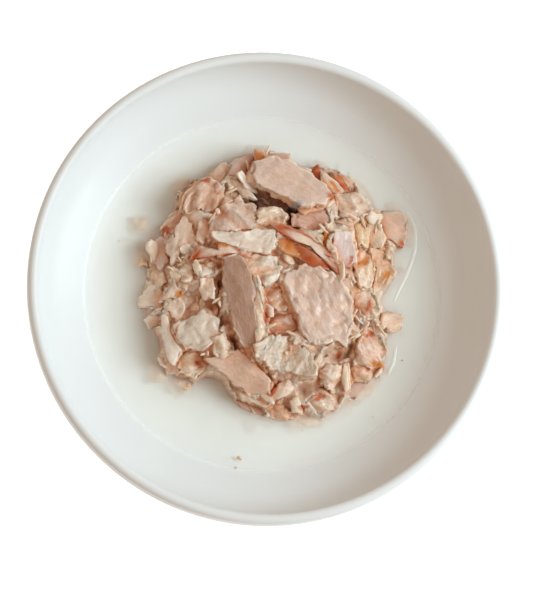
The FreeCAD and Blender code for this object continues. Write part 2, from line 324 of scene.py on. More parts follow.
def library_of(chance, count, lengths, slender, thick, **look):
    """A few ready-made small flakes to draw from."""
    shapes = []
    for _ in range(count):
        length = chance.uniform(*lengths)
        corners = random_outline(length, length * chance.uniform(*slender), 0.0, chance)
        shapes.append(torn_plate(corners, chance.uniform(*thick), chance, **look))
    return shapes


def placed(name, data):
    """A new object in the scene."""
    thing = bpy.data.objects.new(name, data)
    bpy.context.scene.collection.objects.link(thing)
    return thing


class Kind:
    """All the pieces of one kind, joined into one mesh. Each is its points, faces, grain
    coordinates and colours."""

    def __init__(self, name):
        self.name = name
        self.pieces = []
        self.count = 0

    def add(self, points, faces, grains, colours):
        self.pieces.append([points, faces + self.count, grains, colours])
        self.count += len(points)

    def build(self, material, slot, *nodes):
        points, faces, grains, colours = [np.vstack(rows) for rows in zip(*self.pieces)]
        mesh = bpy.data.meshes.new(self.name)
        mesh.from_pydata((points * MM).tolist(), [], faces.tolist())
        layer = mesh.uv_layers.new(name="grain")
        layer.data.foreach_set("uv", grains[faces.ravel()].astype(np.float32).ravel())
        tint = mesh.color_attributes.new("tint", "FLOAT_COLOR", "POINT")
        colours = np.hstack([colours, np.ones((self.count, 1))])
        tint.data.foreach_set("color", colours.astype(np.float32).ravel())
        mesh.polygons.foreach_set("use_smooth", np.ones(len(faces), bool))
        mesh.materials.append(material)
        piece = placed(self.name, mesh)
        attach(piece, "root")
        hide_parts(*nodes)
        return piece


# Patches of colour on a flake, in mm: mottled, warm, and of skin at its rim.
MOTTLED = 5.0
WARM = 4.0
SKIN_PATCH = 3.5
# Streaks of tan on dark flesh: how fine they are to and fro and up.
STREAKED = (0.5, 0.5, 0.2)


def flesh_colours(points, rims, tint, seed):
    """Colour at each point: the flake's tint, mottled, and with a painted highlight at its torn rim.

    A tint such as "pale/rust" has skin-coloured rims.
    """
    tint, _, rim_tint = tint.partition("/")
    tan = linear(TINTS["tan"])
    colour = np.tile(linear(TINTS[tint]), (len(points), 1))
    colour *= 1 + 0.10 * layered_noise(points / MOTTLED, seed, 3)[:, None]
    warm = np.clip(noise(points / WARM, seed + 4) * 1.6 - 0.55, 0, 1)[:, None]
    colour = blended(colour, tan, 0.35 * warm)
    if tint in DARK_TINTS:
        streak = smooth_step(noise(points * STREAKED, seed + 9) * 0.9 + 0.45)[:, None]
        colour = blended(colour, tan, 0.4 * streak)
    if rim_tint:
        skin = smooth_step((rims - 0.5) / 0.35) * smooth_step(noise(points / SKIN_PATCH, seed + 12) + 0.9)
        return blended(colour, linear(TINTS[rim_tint]), skin[:, None])
    # A painted highlight at the torn rim: a quarter of the way to the highlight colour.
    edge = smooth_step((rims - 0.84) / 0.16)[:, None]
    return blended(colour, linear(PAINTED_HIGHLIGHT), 0.25 * edge)


# -------- layout of the heap

# How a flake's surface is torn: smooth skin side, cracked or fibrous chunk, or crumbly layers.
SMOOTH = dict(fibre=0.05, lump=0.10, ragged=0.9, fray=0.6, fold=1.0, crumple=0.25, step=0.6)
CRACKED = dict(fibre=0.07, lump=0.15, ragged=1.0, fray=1.1, fold=0.7, crumple=0.6, step=0.5, crack=0.6)
FIBROUS = dict(fibre=0.28, lump=0.12, ragged=0.9, fray=1.5, fold=0.8, crumple=0.5, step=0.5,
               crack=0.4, layer=0.6)
CRUMBLY = dict(fibre=0.22, lump=0.20, ragged=1.1, fray=1.3, fold=1.0, crumple=1.0, step=0.5, layer=0.8)

# Each large flake: tint, surface, share of the heap's height at its top, thickness, direction of
# its fibres in degrees, slope down and outwards in degrees, and its corners seen from
# above as x, y, x, y and so on, in mm.
FLAKES = [
    ("pink", SMOOTH, 0.93, 5.5, -25, 12, [-5, 55, 4, 57, 11, 55, 18, 51, 27, 44, 28, 40, 26, 36, 15, 34,
     0, 43, -4, 45]),
    ("mauve", SMOOTH, 0.66, 4, -10, 14, [0, 59, 11, 60, 12, 53, 0, 52]),
    ("amber", SMOOTH, 0.72, 3, 0, 10, [-4, 61, 0, 60, 1, 56, -4, 55]),
    ("mauve", SMOOTH, 0.58, 4.5, 30, 18, [-14, 55, -12, 57, -5, 60, -3, 57, -6, 52, -9, 48, -15, 49]),
    ("pink", FIBROUS, 0.88, 4.5, -40, 8, [-23, 27, -22, 32, -16, 37, -11, 40, -9, 36, -5, 36, -4, 31,
     -5, 25, -14, 24, -23, 24]),
    ("white", CRACKED, 0.97, 5, -5, 2, [-23, 24, -14, 24, -5, 25, 5, 25, 5, 20, 3, 16, 0, 15, -9, 16,
     -13, 17, -21, 20]),
    ("pale/rust", SMOOTH, 0.93, 2.4, 20, 6, [-32, 12, -27, 18, -20, 20, -12, 18, -5, 13, -12, 14, -20, 16,
     -26, 13]),
    ("pale", CRACKED, 0.68, 3.5, 70, 18, [-34, 32, -31, 30, -28, 21, -28, 18, -35, 15, -39, 10, -42, 18,
     -38, 23, -37, 27]),
    ("pale", CRACKED, 0.76, 3, 80, 10, [-28, 28, -26, 31, -22, 30, -23, 25, -26, 19, -29, 21]),
    ("peach", CRUMBLY, 0.76, 6, 60, 12, [-28, 45, -23, 48, -17, 44, -17, 38, -21, 32, -25, 32, -28, 34,
     -32, 32, -34, 34, -33, 40]),
    ("pale", SMOOTH, 0.74, 3, -45, 12, [-15, 49, -9, 46, -4, 40, -3, 38, -9, 40, -13, 44]),
    ("cream", CRUMBLY, 0.78, 5, 0, 12, [-36, 8, -33, 11, -30, 10, -29, 4, -34, 2, -37, 5]),
    ("white", CRUMBLY, 0.82, 4.5, 0, 8, [-30, 11, -24, 14, -19, 11, -21, 6, -27, 5]),
    ("skin", SMOOTH, 1, 6, -80, 3, [-18, 13, -12, 15, -7, 9, -5, 3, -4, -8, -3, -25, -9, -25, -13, -17,
     -16, -7, -18, 2]),
    ("cream", FIBROUS, 1, 6.5, -85, 3, [-7, 8, -4, 3, -1, -8, 1, -20, 0, -27, -4, -26, -5, -12, -6, -2]),
    ("white", CRUMBLY, 0.94, 6.5, 20, 0, [-8, 14, -3, 15, 4, 14, 7, 9, 5, 3, 0, 0, -3, 3, -8, 4]),
    ("cream", CRUMBLY, 0.89, 5.5, 10, 6, [-4, 31, -1, 35, 3, 36, 7, 35, 10, 32, 8, 28, 0, 26, -4, 28]),
    ("pale/rust", SMOOTH, 1.02, 2.4, -38, 2, [2, 27, 8, 27, 14, 25, 21, 21, 27, 17, 32, 11, 33, 4, 29, 11,
     24, 15, 18, 18, 12, 20, 7, 23]),
    ("amber", SMOOTH, 0.96, 2.6, -40, 2, [4, 21, 11, 23, 18, 17, 14, 13, 6, 16]),
    ("rust", SMOOTH, 0.98, 2.2, -45, 2, [12, 20, 16, 18, 22, 14, 28, 10, 32, 3, 24, 6, 18, 9, 14, 13]),
    ("lavender", SMOOTH, 0.91, 4, 90, 8, [27, 16, 28, 23, 30, 26, 37, 25, 39, 16, 38, 12, 34, 10, 30, 12]),
    ("pale", SMOOTH, 0.64, 3, -50, 14, [24, 53, 30, 49, 35, 43, 30, 41, 25, 45]),
    ("rust", SMOOTH, 0.52, 3, -80, 12, [20, 54, 24, 56, 25, 48, 21, 48]),
    ("rust", SMOOTH, 0.54, 3, -60, 12, [28, 53, 34, 51, 38, 43, 34, 44, 30, 49]),
    ("tan/pale", SMOOTH, 0.38, 4, -30, 10, [24, 55, 30, 54, 40, 50, 40, 43, 34, 43, 28, 50]),
    ("pale", CRUMBLY, 0.7, 5, -20, 12, [29, 42, 38, 43, 45, 40, 46, 34, 39, 31, 31, 32]),
    ("cream", SMOOTH, 0.68, 3, 10, 10, [43, 32, 45, 35, 51, 34, 49, 30, 45, 29]),
    ("peach", SMOOTH, 0.42, 4.5, -40, 8, [49, 32, 51, 35, 60, 37, 62, 34, 62, 27, 60, 20, 56, 22, 51, 25]),
    ("pink", CRACKED, 1, 6.5, -65, 3, [8, 7, 16, 10, 23, 10, 30, 6, 35, 0, 37, -6, 37, -15, 34, -24,
     29, -22, 26, -25, 18, -24, 15, -20, 13, -13, 10, -5, 7, 3]),
    ("milky", FIBROUS, 0.97, 6, 60, 6, [-5, -24, 0, -20, 5, -19, 13, -22, 18, -25, 21, -31, 22, -37,
     18, -37, 9, -35, 1, -33, -4, -29]),
    ("peach", SMOOTH, 0.76, 5, -30, 12, [-26, -29, -21, -28, -14, -26, -11, -26, -4, -30, 3, -38, 2, -41,
     0, -44, -4, -46, -12, -40, -19, -34]),
    ("cream", FIBROUS, 0.55, 4, -27, 14, [-15, -37, -2, -43, 4, -44, 1, -49, -8, -46, -14, -42]),
    ("mauve", SMOOTH, 0.36, 3, -27, 10, [-12, -43, 0, -48, 5, -51, -1, -52, -10, -48]),
    ("milky", CRACKED, 0.8, 5.5, 30, 12, [-38, -15, -31, -12, -26, -9, -20, -12, -19, -16, -18, -20,
     -22, -24, -28, -26, -34, -26, -37, -19]),
    ("white", SMOOTH, 0.66, 3.5, -75, 16, [-43, -9, -40, -12, -39, -17, -34, -26, -37, -31, -39, -31,
     -41, -27, -43, -19]),
    ("white", SMOOTH, 0.44, 4, 30, 14, [-53, -3, -48, 3, -42, 3, -42, -8, -52, -6]),
    ("white", SMOOTH, 0.42, 3.5, 0, 14, [-51, -12, -48, -10, -42, -10, -42, -15, -48, -16]),
    ("pale", FIBROUS, 0.7, 4, 60, 14, [-43, -4, -38, 6, -36, 1, -33, 0, -37, -5]),
    ("pale", CRACKED, 0.7, 5, 80, 12, [-41, -5, -36, -3, -33, -6, -33, -10, -37, -13, -41, -9]),
    ("pale", FIBROUS, 0.86, 4, 70, 6, [-28, 5, -23, 5, -20, 0, -21, -5, -26, -4, -28, 0]),
    ("pale", FIBROUS, 0.68, 4.5, 50, 12, [0, -46, 6, -39, 10, -37, 14, -40, 11, -44, 2, -47]),
    ("cream", SMOOTH, 0.58, 3, -80, 14, [11, -46, 15, -44, 17, -52, 12, -51]),
    ("tan", FIBROUS, 0.44, 4, -10, 14, [0, -48, 8, -47, 17, -53, 10, -54, 2, -52]),
    ("pale", CRUMBLY, 0.54, 5, -20, 14, [18, -46, 24, -41, 34, -43, 32, -49, 23, -52]),
    ("pale", CRUMBLY, 0.72, 5, 45, 12, [22, -33, 27, -30, 34, -31, 34, -41, 29, -43, 24, -39]),
    ("cream", SMOOTH, 0.76, 5, 90, 10, [33, -30, 35, -31, 36, -42, 34, -44, 33, -38]),
    ("peach", FIBROUS, 0.64, 5.5, -60, 14, [38, -20, 43, -16, 51, -18, 53, -24, 51, -28, 47, -32, 38, -31]),
    ("tan", SMOOTH, 0.44, 4.5, 20, 12, [49, -8, 56, -7, 60, -9, 60, -14, 54, -16, 49, -13]),
    ("pale", CRUMBLY, 0.68, 5, 70, 12, [38, 0, 45, 1, 49, -5, 47, -12, 40, -12, 37, -7]),
    ("cream", FIBROUS, 0.68, 4, 75, 12, [37, 19, 43, 20, 47, 12, 45, 1, 40, 2, 37, 9]),
    ("tan", FIBROUS, 0.58, 4, 70, 14, [43, 20, 50, 19, 55, 15, 57, 9, 52, 2, 46, 0, 47, 11]),
    ("straw", FIBROUS, 0.7, 4, 80, 12, [38, 30, 43, 31, 45, 25, 44, 18, 39, 20]),
    ("cream", FIBROUS, 0.64, 4, 60, 12, [43, 30, 47, 30, 52, 25, 50, 18, 45, 18]),
    ("tan", FIBROUS, 0.46, 3.5, -10, 14, [36, -31, 47, -31, 53, -26, 52, -31, 45, -37, 37, -36]),
    ("amber", SMOOTH, 0.32, 3, 30, 8, [35, -42, 39, -37, 46, -37, 42, -41, 38, -45]),
    ("cream", CRUMBLY, 0.7, 4, 40, 4, [-27, -3, -21, -3, -18, -8, -20, -13, -25, -11, -28, -8]),
    ("pale", CRUMBLY, 0.88, 5, 30, 4, [-1, 1, 6, 2, 11, -3, 9, -10, 1, -9]),
    ("pink", CRUMBLY, 0.84, 4, 0, 4, [2, -9, 11, -10, 14, -17, 8, -20, 1, -18]),
    ("amber", SMOOTH, 0.88, 4, 90, 4, [25, 27, 27, 26, 27, 16, 24, 17]),
    ("mauve", CRACKED, 0.82, 4, -20, 8, [11, 33, 26, 36, 28, 29, 20, 25, 12, 27]),
    ("mauve", SMOOTH, 0.52, 3.5, 80, 18, [-46, 22, -42, 23, -39, 12, -43, 8, -47, 13]),
    ("cream", FIBROUS, 0.5, 4, 80, 16, [-48, 9, -42, 10, -40, 3, -46, 0]),
    ("pale", CRACKED, 0.44, 4, 50, 18, [-43, 28, -36, 37, -32, 35, -38, 23]),
    ("tan", FIBROUS, 0.46, 4, 60, 18, [-35, 40, -29, 49, -26, 47, -31, 34]),
    ("pale", CRACKED, 0.52, 4, 40, 18, [-24, 49, -17, 56, -13, 53, -19, 45]),
    ("cream", CRUMBLY, 0.8, 5, 70, 10, [-23, -20, -17, -18, -13, -25, -17, -30, -22, -28]),
    ("cream", CRUMBLY, 0.54, 5, 20, 14, [-37, -27, -28, -25, -22, -31, -28, -37, -36, -35]),
    ("straw", CRUMBLY, 0.26, 3, -20, 6, [-40, -35, -31, -35, -29, -40, -34, -44, -40, -41]),
    ("straw", CRUMBLY, 0.27, 2, 40, 4, [-50, -30, -42, -28, -40, -36, -46, -39]),
    ("straw", CRUMBLY, 0.27, 2, 30, 4, [-40, 48, -32, 50, -30, 44, -38, 42]),
    ("straw", CRUMBLY, 0.27, 2, 10, 4, [-56, 32, -48, 33, -47, 26, -55, 26]),
    ("straw", CRUMBLY, 0.27, 2, 80, 4, [-57, 18, -49, 20, -48, 10, -55, 11]),
    ("straw", FIBROUS, 0.26, 2, 0, 4, [10, -52, 24, -51, 26, -56, 12, -56]),
    ("straw", FIBROUS, 0.26, 2, 40, 4, [38, -41, 48, -33, 50, -38, 42, -46]),
]

# Gaps between the flakes that go deep: x, y, radius and depth in mm.
CAVITIES = [
    (4, 38, 8, 9), (13, 31, 5, 8), (-7, 38, 4, 6), (-20, 2, 3, 8), (-19, 10, 2.5, 5), (-16, -14, 3, 6),
    (-23, -6, 3, 6), (3, -6, 2.5, 5), (12, -15, 3, 5), (37, -24, 3, 5), (22, -40, 3, 4), (-13, -22, 4, 6),
    (-25, 15, 4, 4), (9, -42, 5, 3), (17, 12, 5, 3), (-29, 26, 3, 3), (40, 26, 3, 2), (-32, -10, 3, 3),
]

# Dark pieces down in the gaps: tint, x, y, length, width and heading in mm and degrees. The umber and brown
# ones are painted shade in the gaps; the amber and rust ones are the flesh's own colour.
GAP_SHADE_AND_DARK_FLESH = [
    ("umber", 11, 30, 6, 4, 70), ("umber", -5, 39, 7, 2.5, -25), ("brown", -10, 31, 5, 3, 60),
    ("umber", -21, -3, 5, 4, 80), ("rust", 4, -15, 5, 3.5, 80), ("brown", 12, 28, 4, 3, 0),
    ("amber", 26, 21, 8, 2.6, 85), ("amber", 0, -8, 7, 2.4, 85), ("amber", -25, -29, 5, 3, 10),
]

# Stains of dark flesh, oil and skin on the flakes, laid out in the same way. The umber one beside the deep
# gap is painted shade.
STAINS_AND_GAP_SHADE = [
    ("rust", 45, -6, 7, 3.0, 75), ("rust", 59, 22, 7, 2.6, 80), ("rust", 28, 40, 5, 3.6, 0),
    ("rust", 23, -44, 6, 3.6, 20), ("rust", -41, 26, 6, 3.4, 70), ("rust", 4, -42, 7, 2.6, 50),
    ("rust", 45, -18, 4, 2.4, 30), ("amber", 25, 22, 8, 2.4, 85), ("umber", 12, 34, 6, 3.6, 20),
    ("amber", 43, 13, 6, 4.0, 40), ("rust", -20, 41, 4, 2.4, 20), ("rust", 32, -26, 4, 3.0, 60),
    ("amber", 52, 8, 6, 2.6, 60), ("amber", 49, -30, 8, 2.4, -20), ("amber", -36, -2, 5, 3.0, 30),
    ("rust", -27, -31, 7, 2.6, -40), ("rust", 0, -12, 7, 2.6, 85), ("amber", 30, 46, 6, 2.6, -50),
    ("rust", 36, 12, 7, 2.0, 80), ("rust", -25, 47, 4, 2.4, 10), ("silver", 13, 36, 5, 2.6, 20),
    ("amber", -18, 18, 8, 2.0, -10), ("rust", -37, -17, 5, 1.8, 80), ("rust", 17, -49, 6, 2.2, 10),
]

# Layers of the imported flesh: how many plates, their lengths, widths over lengths, levels above
# the target or else above what lies there already, how far they tip, and which of the two
# levels counts, in mm and degrees.
TARGET, GROUND = range(2)
PACKING = [
    (330, (14, 24), (0.3, 0.6), (-2.0, 0.2), 8, TARGET),
    (260, (8, 16), (0.25, 0.5), (-0.7, 0.4), 11, GROUND),
    (100, (5, 8), (0.3, 0.6), (-0.4, 0.3), 14, GROUND),
    (200, (5, 12), (0.08, 0.13), (0.0, 0.3), 4, GROUND),
]
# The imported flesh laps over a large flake's edge this far, and lies this far under its face.
LAP = 1.3
BURIED = 2.4
# How far it may stand over its target anywhere, and how far its target lies under the flakes.
PROUD = 1.6
SUNK = 1.2
# The flakes' levels are spread this far to give the target.
SPREAD = 4.5
# The part of the heap's ellipse in which no gap goes down to the broth, and its least height there.
INNER_HEAP = 0.62
INNER_CLEARANCE = 0.8
# Outside the heap the relief lies this far under the bowl's surface, so that it is cut away.
UNDER_BOWL = 0.4
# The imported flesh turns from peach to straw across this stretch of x.
STRAW_FROM = 22
STRAW_SPAN = 20
# What rises less than this over the floor isn't flesh.
BARELY = 0.1


def blurred(grid, width):
    """A grid blurred by a Gaussian so many cells wide."""
    rows = np.fft.fftfreq(grid.shape[0])[:, None]
    columns = np.fft.rfftfreq(grid.shape[1])[None, :]
    falloff = np.exp(-2 * (math.pi * width) ** 2 * (rows ** 2 + columns ** 2))
    return np.fft.irfft2(np.fft.rfft2(grid) * falloff, grid.shape)


def bowl_inside():
    """Radii and heights, in mm, of the bowl's inside wall, found by rays from above."""
    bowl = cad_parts["bowl"]
    into = bowl.matrix_world.inverted()
    above = 0.2
    lip = 5.0
    radii = np.arange(0.0, bowl_high.x / MM - lip, 1.0)
    levels = []
    for radius in radii:
        start = into @ Vector((radius * MM, 0.0, above))
        _, place, _, _ = bowl.ray_cast(start, into.to_3x3() @ Vector((0, 0, -1)))
        levels.append((bowl.matrix_world @ place).z / MM)
    return radii, np.array(levels)


class Relief:
    """A height map over the heap, with a colour and fibre direction at each place."""

    CELL = 0.5
    MARGIN = 8.0
    # The most that the height changes from one cell to the next.
    STEEPEST = 2.2
    # Sizes in mm of a laid plate's tears, lanes of fibre ends, grain and lumps.
    TEAR = 2.2
    LANE = 0.9
    GRAIN = (7, 1.7)
    LUMP = 3.4

    def __init__(self):
        reach_x, reach_y = HEAP_REACH[0] + self.MARGIN, HEAP_REACH[1] + self.MARGIN
        self.west, self.south = HEAP_CENTRE[0] - reach_x, HEAP_CENTRE[1] - reach_y
        line_x = np.arange(self.west, HEAP_CENTRE[0] + reach_x, self.CELL)
        line_y = np.arange(self.south, HEAP_CENTRE[1] + reach_y, self.CELL)
        self.x, self.y = np.meshgrid(line_x, line_y, indexing="ij")
        self.height = np.full(self.x.shape, FLOOR)
        self.colour = np.tile(linear(TINTS["tan"]), self.x.shape + (1,))
        self.grain = np.zeros(self.x.shape)
        self.inner = np.zeros(self.x.shape)

    def within(self, column, row):
        return np.clip(column, 0, self.x.shape[0] - 1), np.clip(row, 0, self.x.shape[1] - 1)

    def cells(self, x, y):
        column = ((np.asarray(x) - self.west) / self.CELL + 0.5).astype(int)
        row = ((np.asarray(y) - self.south) / self.CELL + 0.5).astype(int)
        return self.within(column, row)

    def raise_to(self, points):
        """Lifts the map to a mesh's points."""
        column, row = self.cells(points[:, 0], points[:, 1])
        for aside, along in itertools.product((-1, 0, 1), repeat=2):
            np.maximum.at(self.height, self.within(column + aside, row + along), points[:, 2])

    def lay(self, place, corners, lean, seed, tint, heading=0.0, ragged=0.5, relief=0.25,
            rounding=0.35, fold=0.0, crumple=0.0):
        """Lays a torn plate with its middle at a place. Only what stands above the map shows."""
        x, y, level = place
        reach = np.abs(corners).max() + 2.0
        west, south = self.cells(x - reach, y - reach)
        east, north = self.cells(x + reach, y + reach)
        window = (slice(west, east + 1), slice(south, north + 1))
        map_x, map_y = self.x[window], self.y[window]
        dx, dy = map_x - x, map_y - y
        angle, radius = np.arctan2(dy, dx), np.hypot(dx, dy)
        turn = math.radians(heading)
        along, across = along_and_across(dx, dy, turn)
        tear = plan_noise(map_x / self.TEAR, map_y / self.TEAR, seed, 2)
        frayed = plan_noise(across / self.LANE, (along > 0).astype(float), seed + 4)
        frayed = frayed * np.abs(np.cos(angle - turn))
        inner = polygon_reach(corners, angle.ravel()).reshape(dx.shape) + ragged * (tear + 1.4 * frayed)
        inner = inner - radius
        grain_u, grain_v = along / self.GRAIN[0], across / self.GRAIN[1]
        rough = plan_noise(grain_u, grain_v, seed + 1)
        rough = rough + 0.8 * plan_noise(map_x / self.LUMP, map_y / self.LUMP, seed + 2, 2)
        plane = level + dx * lean[0] + dy * lean[1] + relief * rough
        plane += crumple * (np.abs(plan_noise(grain_u * 1.4, grain_v * 0.5, seed + 3, 2)) - 0.3)
        if fold:
            way = turn + (seed % 7 - 3) * 0.2
            plane += fold * np.abs(along_and_across(dx, dy, way)[1])
        plane -= rounding * np.clip(1 - inner / (1.6 * rounding), 0, 1) ** 2
        take = (inner > 0) & (plane > self.height[window])
        self.height[window][take] = plane[take]
        rims = 1 - np.clip(inner / 3.0, 0, 1)
        points = np.stack([map_x, map_y, plane], -1).reshape(-1, 3)
        colour = flesh_colours(points, rims.ravel(), tint, seed)
        self.colour[window][take] = colour.reshape(dx.shape + (3,))[take]
        self.grain[window][take] = turn
        self.inner[window][take] = inner[take]

    def settle(self, where):
        """Banks flesh up against every wall, so that none is steeper than torn flesh stands."""
        for _ in range(3):
            for axis, way in itertools.product((0, 1), (-1, 1)):
                beside = np.roll(self.height, way, axis) - self.STEEPEST
                low = (beside > self.height) & where
                self.height = np.where(low, beside, self.height)
                self.colour[low] = np.roll(self.colour, way, axis)[low]

    def at(self, x, y):
        return self.height[self.cells(x, y)]

    def slope(self, x, y, reach=3.0):
        east = self.at(x + reach, y) - self.at(x - reach, y)
        north = self.at(x, y + reach) - self.at(x, y - reach)
        return east / (2 * reach), north / (2 * reach)


class PaintedLightAndShade:
    """Paints light and shade into the flesh by how it lies in the finished heap: a painted highlight where
    it stands proud, painted orange shade in creases and on walls and undersides, and painted dark red shade
    in the gaps."""

    # Widths, in mm, over which the flesh near by and further round is averaged.
    NEAR = 1.1
    WIDE = 3.6
    # Depths in mm under the flesh around at which the painted shade of a crevice and of a cavity starts,
    # and their spans.
    CREVICE_FROM = 1.6
    CREVICE_SPAN = 3.0
    CAVITY_FROM = 3.8
    CAVITY_SPAN = 3.2

    def __init__(self, top, level, share):
        self.top = top
        # Towards the heap's outline the painted light and shade fade.
        self.inner = 0.3 + 0.7 * smooth_step((share - 0.45) / 0.4)
        there = (top.height > level - 3.0).astype(float)
        self.near = self.soften(there, self.NEAR)
        self.wide = self.soften(there, self.WIDE)

    def soften(self, there, width):
        cells = width / Relief.CELL
        share = blurred(there, cells)
        mean = blurred(self.top.height * there, cells) / np.maximum(share, 0.02)
        return np.where(share > 0.02, mean, self.top.height)

    def tone(self, points, colours):
        spot = self.top.cells(points[:, 0], points[:, 1])
        height = points[:, 2]
        inner = self.inner[spot][:, None]
        # Painted highlight where the flesh stands proud of the flesh near by.
        raised = np.clip((height - self.near[spot]) / 0.9, 0, 1)[:, None]
        # Painted shade on walls and undersides, under the heap's top.
        under = np.clip((self.top.height[spot] - height - 0.5) / 1.2, 0, 1)
        dip = self.near[spot] - height
        deep = self.wide[spot] - height
        # Painted shade in creases, and deeper in crevices and cavities.
        crease = np.clip((dip - 0.25) / 0.9, 0, 1) * 0.45 + np.clip(deep / 2.4, 0, 1) * 0.65
        crease = np.clip(np.maximum(crease, under), 0, 0.9)[:, None] * inner
        crevice = smooth_step((deep - self.CREVICE_FROM) / self.CREVICE_SPAN)[:, None] * inner
        cavity = smooth_step((deep - self.CAVITY_FROM) / self.CAVITY_SPAN)[:, None] * inner
        colours = blended(colours, linear(PAINTED_HIGHLIGHT), 0.40 * raised)
        colours = blended(colours, colours * CREASE_SHADE_SHARE, crease)
        colours = blended(colours, linear(CREVICE_SHADE), 0.8 * crevice)
        return blended(colours, linear(CAVITY_SHADE), 0.85 * cavity)


def stained_and_gap_shaded(points, colours):
    """Flesh with its stains, and one patch of painted shade by a gap. Their edges are ragged, as the
    flakes' grain is.
    """
    for number, (tint, x, y, length, width, heading) in enumerate(STAINS_AND_GAP_SHADE):
        near = np.hypot(points[:, 0] - x, points[:, 1] - y) < length
        if not near.any():
            continue
        spot = points[near]
        along, across = along_and_across(spot[:, 0] - x, spot[:, 1] - y, math.radians(heading))
        reach = np.hypot(along / length, across / width) * 2
        grain = np.stack([along / 4, across, spot[:, 2] / 2], 1)
        share = smooth_step((1.1 - reach + 0.5 * layered_noise(grain, number, 2)) / 0.5)
        colours[near] = blended(colours[near], linear(TINTS[tint]), 0.9 * share[:, None])
    return colours


# -------- packed flesh

def flake_level(rise):
    return FLOOR + rise * HEAP_HEIGHT


def target_surface():
    """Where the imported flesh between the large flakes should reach: a little under them."""
    layout = Relief()
    for tint, _, rise, _, _, slope, corners in FLAKES:
        corners = np.reshape(corners, (-1, 2))
        x, y = corners.mean(0)
        fall = math.tan(math.radians(slope)) / max(math.hypot(x, y), 1.0)
        layout.lay((x, y, flake_level(rise)), corners - (x, y), (-x * fall, -y * fall), 1, tint,
                   relief=0.0, rounding=0.01)
    there = (layout.height > FLOOR + BARELY).astype(float)
    share = blurred(there, SPREAD / Relief.CELL)
    level = blurred(layout.height * there, SPREAD / Relief.CELL) / np.maximum(share, 0.02)
    for x, y, radius, depth in CAVITIES:
        away = ((layout.x - x) ** 2 + (layout.y - y) ** 2) / radius ** 2
        level -= depth * np.exp(-away)
    return layout, level - SUNK, share


def packed_flesh(top, chance):
    """The flesh between and under the large flakes, as one relief of torn plates.

    Also returns the bowl's inside and how much of the heap there is round each place.
    """
    layout, reached, share = target_surface()
    radii, walls = bowl_inside()
    packed = Relief()
    wall = np.interp(np.hypot(packed.x, packed.y), radii, walls)
    fill = smooth_step((share - 0.26) / 0.30)
    target = wall - UNDER_BOWL + (reached - wall + UNDER_BOWL) * fill
    lumps = plan_noise(packed.x / 5.0, packed.y / 5.0, 3, 3)
    packed.height = np.maximum(target - 1.5 + 1.2 * lumps * fill, wall - UNDER_BOWL)
    places = np.argwhere(share > 0.32)
    for count, lengths, slender, lift, tip, over in PACKING:
        for _ in range(count):
            column, row = places[chance.randint(0, len(places))]
            x, y = packed.x[column, row], packed.y[column, row]
            length = chance.uniform(*lengths)
            heading = chance.uniform(0, 180)
            corners = random_outline(length, length * chance.uniform(*slender), heading, chance)
            level = (target, packed.height)[over][column, row]
            lean = np.clip(packed.slope(x, y), -0.8, 0.8)
            lean = lean + np.tan(np.radians(chance.normal(0, tip, 2)))
            straw = chance.uniform(0, 1) < smooth_step((x - STRAW_FROM) / STRAW_SPAN)
            palette = STRAW_MIX if straw else PEACH_MIX
            tint = palette[chance.randint(0, len(palette))]
            packed.lay((x, y, level + chance.uniform(*lift)), corners, lean,
                       chance.randint(0, 90), tint, heading=heading, relief=0.14,
                       fold=chance.uniform(-0.2, 0.12), crumple=0.9)
    # Dark pieces in the gaps: painted shade in umber and brown, the flesh's own colour in amber and rust.
    for tint, x, y, length, width, heading in GAP_SHADE_AND_DARK_FLESH:
        corners = random_outline(length, width, heading, chance)
        packed.lay((x, y, packed.at(x, y) + 0.8), corners, packed.slope(x, y), chance.randint(0, 90),
                   tint, heading=heading, crumple=0.5)
    bare = layout.height - BURIED + (BURIED + 0.1) * np.clip(1 - layout.inner / LAP, 0, 1)
    bare = np.where(layout.height > FLOOR + BARELY, bare, np.inf)
    limit = np.maximum(np.minimum(bare, target + PROUD + 0.8 * lumps), wall - UNDER_BOWL)
    across = (layout.x - HEAP_CENTRE[0]) / HEAP_REACH[0]
    along = (layout.y - HEAP_CENTRE[1]) / HEAP_REACH[1]
    least = np.where(across ** 2 + along ** 2 < INNER_HEAP, LEVEL + INNER_CLEARANCE, 0)
    packed.height = np.maximum(np.minimum(packed.height, limit), least)
    packed.settle(share > 0.3)
    top.height = packed.height.copy()
    return packed, wall, share


def packed_kind(packed, wall):
    """The relief as a mesh, kept where it lies above the bowl."""
    kind = Kind("packed_flesh")
    faces = grid_faces(np.arange(packed.x.size).reshape(packed.x.shape))
    clear = (packed.height > wall - 0.3).ravel()
    faces = faces[clear[faces].any(axis=1)]
    points = np.stack([packed.x, packed.y, packed.height], -1).reshape(-1, 3)
    grains = np.stack(along_and_across(points[:, 0], points[:, 1], packed.grain.ravel()), 1)
    # The grain runs on down the walls, and they crumble.
    grains += points[:, 2:]
    points = points + crumbling(points, 1.6, 60) * (0.35, 0.35, 0.12)
    used = np.unique(faces)
    renumber = np.zeros(len(points), int)
    renumber[used] = np.arange(len(used))
    kind.add(points[used], renumber[faces], grains[used], packed.colour.reshape(-1, 3)[used])
    return kind


# -------- flakes on the heap

# The large flakes' seeds count up from here, one each, so that a change to one leaves the rest.
FLAKE_SEED = 400
# A flake thicker than this comes apart in two layers, the lower one a little out of line.
SPLIT_OVER = 3.6
LAYER_SHARE = 0.6
OUT_OF_LINE = 1.1
# How deep a large flake sits in its level.
SEATED = 0.4


